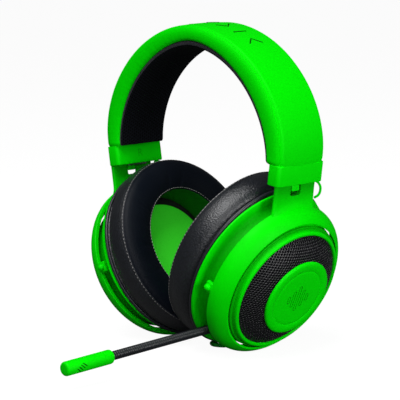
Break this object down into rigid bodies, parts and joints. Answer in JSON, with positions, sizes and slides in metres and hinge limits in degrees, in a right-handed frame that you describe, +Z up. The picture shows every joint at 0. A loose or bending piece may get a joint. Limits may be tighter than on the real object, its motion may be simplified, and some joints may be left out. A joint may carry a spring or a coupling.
{
  "type": "gaming headset",
  "caption": "Over-ear headset with a padded headband, sliding yokes, tilting ear cups and a pull-out bendable microphone boom.",
  "frame": {"origin": "centre of the headset's footprint, on the surface that the two yoke hoops stand on", "axes": "+Z up, -Y the way the wearer faces and the microphone points, +X the wearer's left, the side with the microphone and the cable"},
  "size_m": [0.1518, 0.2305, 0.1845],
  "materials": {
    "green_leatherette": "satin",
    "green_plastic": "satin moulded",
    "green_fabric": "matt knitted",
    "black_mesh": "matt spacer mesh",
    "black_leatherette": "grained",
    "black_plastic": "fine texture",
    "grille_metal": "satin black",
    "boom_rubber": "finely ribbed",
    "steel": "plain",
    "magnet": "plated",
    "film": "clear film",
    "board": "varnished",
    "cable_rubber": "matt",
    "gold": "plated"
  },
  "bodies": {
    "headband": {"band_cover": "green_leatherette", "head_pad": "black_mesh", "band_spring": "steel", "left_cap": "green_plastic", "right_cap": "green_plastic", "left_cap_screw": "steel", "right_cap_screw": "steel"},
    "left_yoke": {"left_yoke": "green_plastic", "left_slider_rail": "steel", "left_wire_loop": "green_plastic", "left_neck_tab": "green_plastic", "left_pivot_pin_front": "green_plastic", "left_pivot_pin_rear": "green_plastic"},
    "right_yoke": {"right_yoke": "green_plastic", "right_slider_rail": "steel", "right_wire_loop": "green_plastic", "right_neck_tab": "green_plastic", "right_pivot_pin_front": "green_plastic", "right_pivot_pin_rear": "green_plastic"},
    "left_cup": {"left_cup_shell": "green_plastic", "left_bezel": "green_plastic", "left_grille": "grille_metal", "left_badge": "green_plastic", "left_cushion": "black_leatherette", "left_baffle": "black_plastic", "left_ear_screen": "green_fabric", "left_driver_frame": "black_plastic", "left_diaphragm": "film", "left_driver_magnet": "magnet", "left_baffle_screw_front": "steel", "left_baffle_screw_rear": "steel", "circuit_board": "board", "mic_port": "black_plastic", "cable_relief": "cable_rubber", "cable_run": "cable_rubber", "cable_coil": "cable_rubber", "cable_tail": "cable_rubber", "plug_grip": "black_plastic", "plug_contact": "gold"},
    "right_cup": {"right_cup_shell": "green_plastic", "right_bezel": "green_plastic", "right_grille": "grille_metal", "right_badge": "green_plastic", "right_cushion": "black_leatherette", "right_baffle": "black_plastic", "right_ear_screen": "green_fabric", "right_driver_frame": "black_plastic", "right_diaphragm": "film", "right_driver_magnet": "magnet", "right_baffle_screw_front": "steel", "right_baffle_screw_rear": "steel"},
    "boom_root": {"mic_boom_root": "boom_rubber"},
    "boom_middle": {"mic_boom_middle": "boom_rubber"},
    "boom_tip": {"mic_boom_tip": "boom_rubber", "mic_collar": "green_plastic", "mic_capsule": "green_plastic"}
  },
  "joints": [
    {"name": "left_height_slide", "type": "slide", "parent": "headband", "child": "left_yoke", "axis": [0, 0, -1], "range_m": [0, 0.025]},
    {"name": "right_height_slide", "type": "slide", "parent": "headband", "child": "right_yoke", "axis": [0, 0, -1], "range_m": [0, 0.025]},
    {"name": "left_cup_pivot", "type": "hinge", "parent": "left_yoke", "child": "left_cup", "pos_m": [0.0442, 0.04345, 0.04474], "axis": [0, -1, 0], "range_deg": [0, 4.5]},
    {"name": "right_cup_pivot", "type": "hinge", "parent": "right_yoke", "child": "right_cup", "pos_m": [-0.0442, 0.04345, 0.04474], "axis": [0, 1, 0], "range_deg": [0, 4.5]},
    {"name": "mic_retract", "type": "slide", "parent": "left_cup", "child": "boom_root", "axis": [0, 0.999, 0.0436], "range_m": [0, 0.034]},
    {"name": "mic_bend_side", "type": "hinge", "parent": "boom_root", "child": "boom_middle", "pos_m": [0.02759, -0.03281, 0.01436], "axis": [0, -0.0436, 0.999], "range_deg": [-30, 30]},
    {"name": "mic_bend_up", "type": "hinge", "parent": "boom_middle", "child": "boom_tip", "pos_m": [0.02759, -0.04679, 0.01375], "axis": [-1, 0, 0], "range_deg": [-30, 30]}
  ]
}
